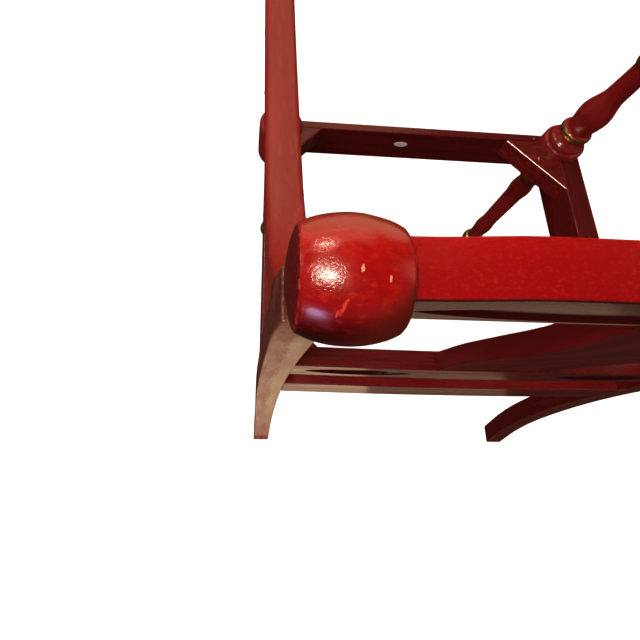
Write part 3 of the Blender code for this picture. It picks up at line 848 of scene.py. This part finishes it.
def make_barrels():
    """Turned drums at the crest's ends, with rubbed rims, painted shade on the outer ends, the
    rear underside and the inner rear side, and a painted reflection on the front top.
    """
    for side in SIDES:
        node = "crest_barrel_" + side
        low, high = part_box(node)
        middle = (low + high) / 2
        outward = 1.0 if side == "left" else -1.0
        axis = Vector((outward, 0.0, 0.0))
        base = Vector((low.x if side == "left" else high.x, middle.y, middle.z))
        least, parts, corner, segments, wobble = BARREL_TURNING
        outline = bulged(outline_of(node, base, axis, least))
        mesh = lathe(node, faired(outline, parts, corner), base, axis, segments, wobble)
        mark_rims(mesh, base, axis, outline)
        # painted light by facing: a painted reflection on the front top, and painted shade on the
        # rear underside, the inner rear side and the outer end
        tints = (
            ((0.0, -0.90, 0.44), 0.55, 0.98, REFLECTED_BRICK, 0.25),
            ((0.0, 0.90, -0.43), 0.20, 0.82, BARREL_SHADE_BROWN, 0.10),
            ((-0.80 * outward, 0.56, -0.20), 0.28, 0.68, BARREL_SHADE_UMBER, 0.10),
            ((outward, 0.0, 0.0), 0.78, 0.90, SHADE_MAROON, 0.2),
        )
        look = scarlet_look((16.0, 30.0, 30.0), along("x", 190.0, 420.0), 0.50, 0.00008)
        chips, scuffs = [
            [(tuple(middle + Vector(at)), half, turn) for at, half, turn in spots]
            for spots in ((CHIPS, SCUFFS) if side == "left" else ((), ()))
        ]
        crackled = [(tuple(middle + Vector(at)), radius) for at, radius in CRACKLED]
        paint = lacquer("scarlet_" + node, BARREL_LIT_SCARLET, look, tints, chips, scuffs, crackled)
        add_piece(mesh, node, "bright_lacquer", paint)


def make_legs(paint, gilt):
    """Front legs, drums included."""
    least, parts, corner, segments, wobble = SLIM_TURNING
    for side in SIDES:
        node = "front_leg_" + side
        low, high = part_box(node)
        middle = (low + high) / 2
        base = Vector((middle.x, middle.y, low.z))
        outline = outline_of(node, base, UP, least)
        mesh = lathe(node, faired(outline, parts, corner), base, UP, segments, wobble)
        gild(mesh, base, UP, LEG_GILT)
        add_piece(mesh, node, "dark_lacquer", paint, gilt)


def make_supports(paint, gilt):
    """Arm supports, which lean from the drums towards the arms."""
    least, parts, corner, segments, wobble = SLIM_TURNING
    for side in SIDES:
        node = "arm_support_" + side
        drum_low, drum_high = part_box("front_leg_" + side)
        drum = (drum_low + drum_high) / 2
        base = Vector((drum.x, drum.y, drum_high.z))
        points = points_of(node)[0]
        top = max(p.z for p in points)
        tips = [p for p in points if p.z > top - TIP_DEPTH]
        tip = sum(tips, Vector()) / len(tips)
        axis = (tip - base).normalized()
        end = (tip - base).length - SUPPORT_SHORT
        outline = outline_of(node, base, axis, least)
        outline = [(-SUPPORT_SUNK, outline[0][1])] + outline + [(end, outline[-1][1])]
        mesh = lathe(node, faired(outline, parts, corner), base, axis, segments, wobble)
        gild(mesh, base, axis, SUPPORT_GILT)
        add_piece(mesh, node, "dark_lacquer", paint, gilt)


def make_head(node, paint, slot_turn=None):
    """Round screw or pin head where the CAD has it, with a driver slot if a turn is given."""
    low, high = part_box(node)
    middle = (low + high) / 2
    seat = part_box("front_seat_rail")[1].z
    base = Vector((middle.x, middle.y, seat))
    radius = (high.x - low.x) / 2
    height = high.z - seat
    shank = radius * SHANK_SHARE
    outline = [(-SHANK_DEPTH, shank), (0.0, shank), (0.0, radius), (height * HEAD_RIM, radius)]
    for k in range(1, DOME_RINGS + 1):
        # the last ring is a small flat, not a point
        a = math.pi / 2 * k / (DOME_RINGS + 0.4)
        rise = HEAD_RIM + (1 - HEAD_RIM) * math.sin(a)
        outline.append((height * rise, radius * math.cos(a)))
    piece = add_piece(lathe(node, outline, base, UP, HEAD_SEGMENTS), node, "screw_steel", paint)
    if slot_turn is not None:
        size = (radius * 3, radius * SLOT_WIDTH, height)
        cut_slot(piece, base + UP * height, size, slot_turn)


def cut_slot(piece, at, size, turn):
    """Cuts a box out of a piece's mesh."""
    bm = bmesh.new()
    bmesh.ops.create_cube(bm, size=1.0)
    bmesh.ops.scale(bm, vec=size, verts=bm.verts)
    mesh = bpy.data.meshes.new("slot")
    bm.to_mesh(mesh)
    bm.free()
    tool = bpy.data.objects.new("slot_tool", mesh)
    tool.matrix_world = Matrix.Translation(at) @ Matrix.Rotation(turn, 4, "Z")
    bpy.context.scene.collection.objects.link(tool)
    mod = piece.modifiers.new("slot", "BOOLEAN")
    mod.operation = "DIFFERENCE"
    mod.object = tool
    bpy.context.view_layer.update()
    shown = piece.evaluated_get(bpy.context.evaluated_depsgraph_get())
    done = bpy.data.meshes.new_from_object(shown)
    piece.modifiers.clear()
    piece.data = done
    bpy.data.objects.remove(tool)


def make_pieces():
    # painted shade: the crest's rear face and underside darken to brown
    rear = ((0.0, 1.0, 0.0), 0.45, 0.85, SHADE_BROWN, 0.1)
    below = ((0.0, 0.0, -1.0), 0.30, 0.80, SHADE_BROWN, 0.1)
    crest_look = scarlet_look((3.0, 9.0, 9.0), (480.0, 620.0, 620.0), 0.40, 0.00007)
    scarlet = lacquer("scarlet_crest", SCARLET, crest_look, (rear, below))
    brick = lacquer("brick_arms", BRICK, satin_look())
    across = lacquer("maroon_across", MAROON, dark_look("x"))
    lengthwise = lacquer("maroon_lengthwise", MAROON, dark_look("y"))
    upright = lacquer("maroon_upright", MAROON, dark_look("z", rough=(0.28, 0.40)))
    turned = lacquer("maroon_turned_painted_light", TURNED_LIT_MAROON, dark_look("z", 0.12, (0.18, 0.30)))
    gilt = gilding()
    steel = screw_steel()
    wood = beech()

    joinery("crest_rail", "bright_lacquer", scarlet)
    for node in ("back_rail", "rear_seat_rail", "front_seat_rail"):
        joinery(node, "dark_lacquer", across)
    joinery("back_splat", "dark_lacquer", upright)
    for side in SIDES:
        joinery("arm_" + side, "satin_lacquer", brick)
        joinery("back_post_" + side, "dark_lacquer", post_paint(side))
        joinery("side_seat_rail_" + side, "dark_lacquer", lengthwise)
        for end in ("front_", "rear_"):
            joinery("corner_block_" + end + side, "dark_lacquer", across)
        for dowel in ("crest_dowel_", "post_dowel_"):
            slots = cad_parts[dowel + side].data.materials
            slots.clear()
            slots.append(wood)
    joinery("rail_tag", "ivory_tag", ivory())
    make_barrels()
    make_legs(turned, gilt)
    make_supports(turned, gilt)
    for end, turns in SLOT_TURNS.items():
        for side, turn in zip(SIDES, turns):
            make_head("corner_screw_" + end + side, steel, turn)
    make_head("rail_pin", steel)


make_camera()
make_stage()
make_lamps()
make_world()
bpy.context.scene.view_settings.view_transform = "Standard"
bpy.context.scene.view_settings.look = "Medium High Contrast"
make_pieces()
